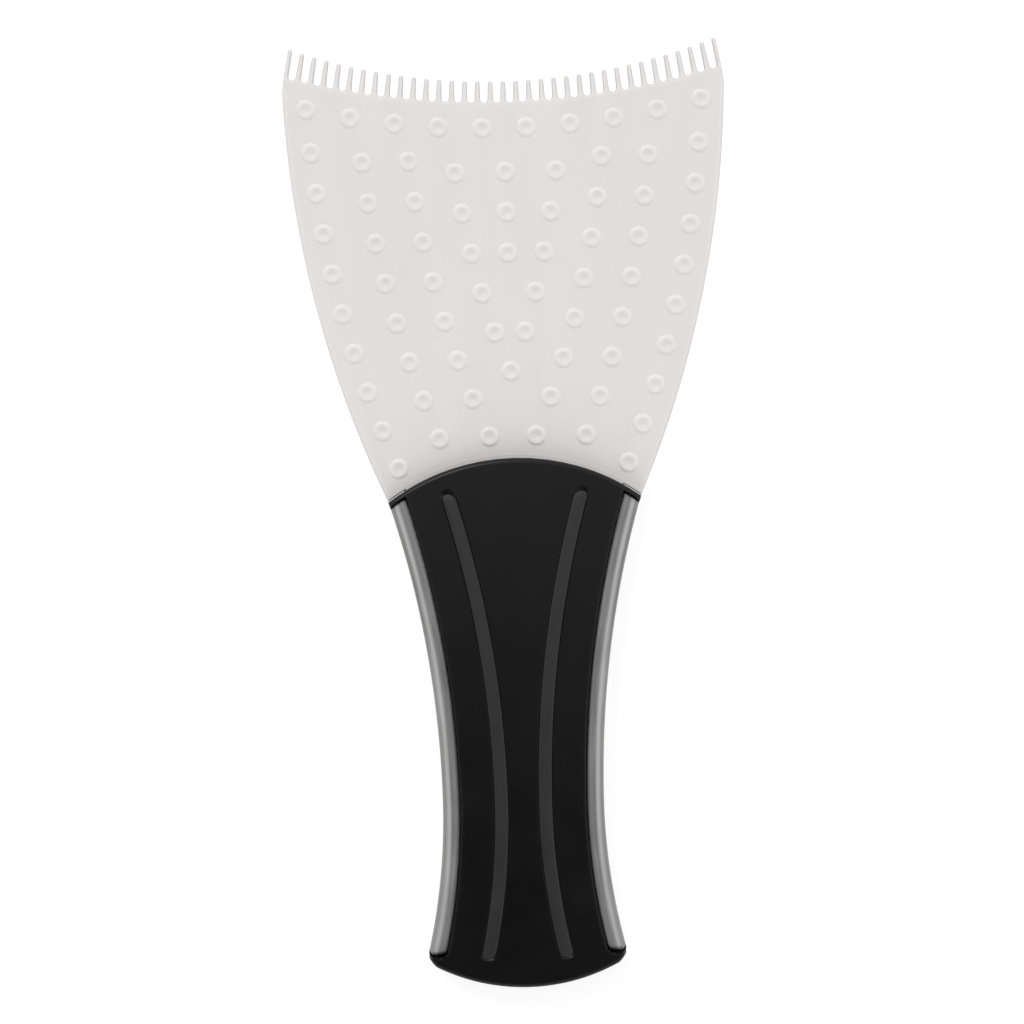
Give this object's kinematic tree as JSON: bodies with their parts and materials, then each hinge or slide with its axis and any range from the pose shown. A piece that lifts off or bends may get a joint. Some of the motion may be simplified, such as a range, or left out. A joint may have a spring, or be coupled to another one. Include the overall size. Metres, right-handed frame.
{
  "type": "hair colouring board",
  "caption": "Toothed flat board for hair colouring, with small raised nubs on its front, held in a two-shell handle with soft grips along its sides and faces.",
  "frame": {"origin": "middle of the length and the width, on the flat back of the handle that the tool lies on", "axes": "+Y from the handle to the teeth, +X to the right of the front face, +Z out of the front face"},
  "size_m": [0.1174, 0.2498, 0.0151],
  "materials": {
    "board_white": "satin off-white moulded plastic with a soft sheen",
    "handle_black": "black moulded plastic with a soft gloss",
    "grip_grey": "light grey soft-touch elastomer",
    "inlay_charcoal": "charcoal soft-touch elastomer"
  },
  "bodies": {
    "root": {"board": "board_white", "handle_front_shell": "handle_black", "handle_back_shell": "handle_black", "side_grip_left": "grip_grey", "side_grip_right": "grip_grey", "front_inlay_left": "inlay_charcoal", "front_inlay_right": "inlay_charcoal", "back_inlay_left": "inlay_charcoal", "back_inlay_right": "inlay_charcoal"}
  },
  "joints": []
}
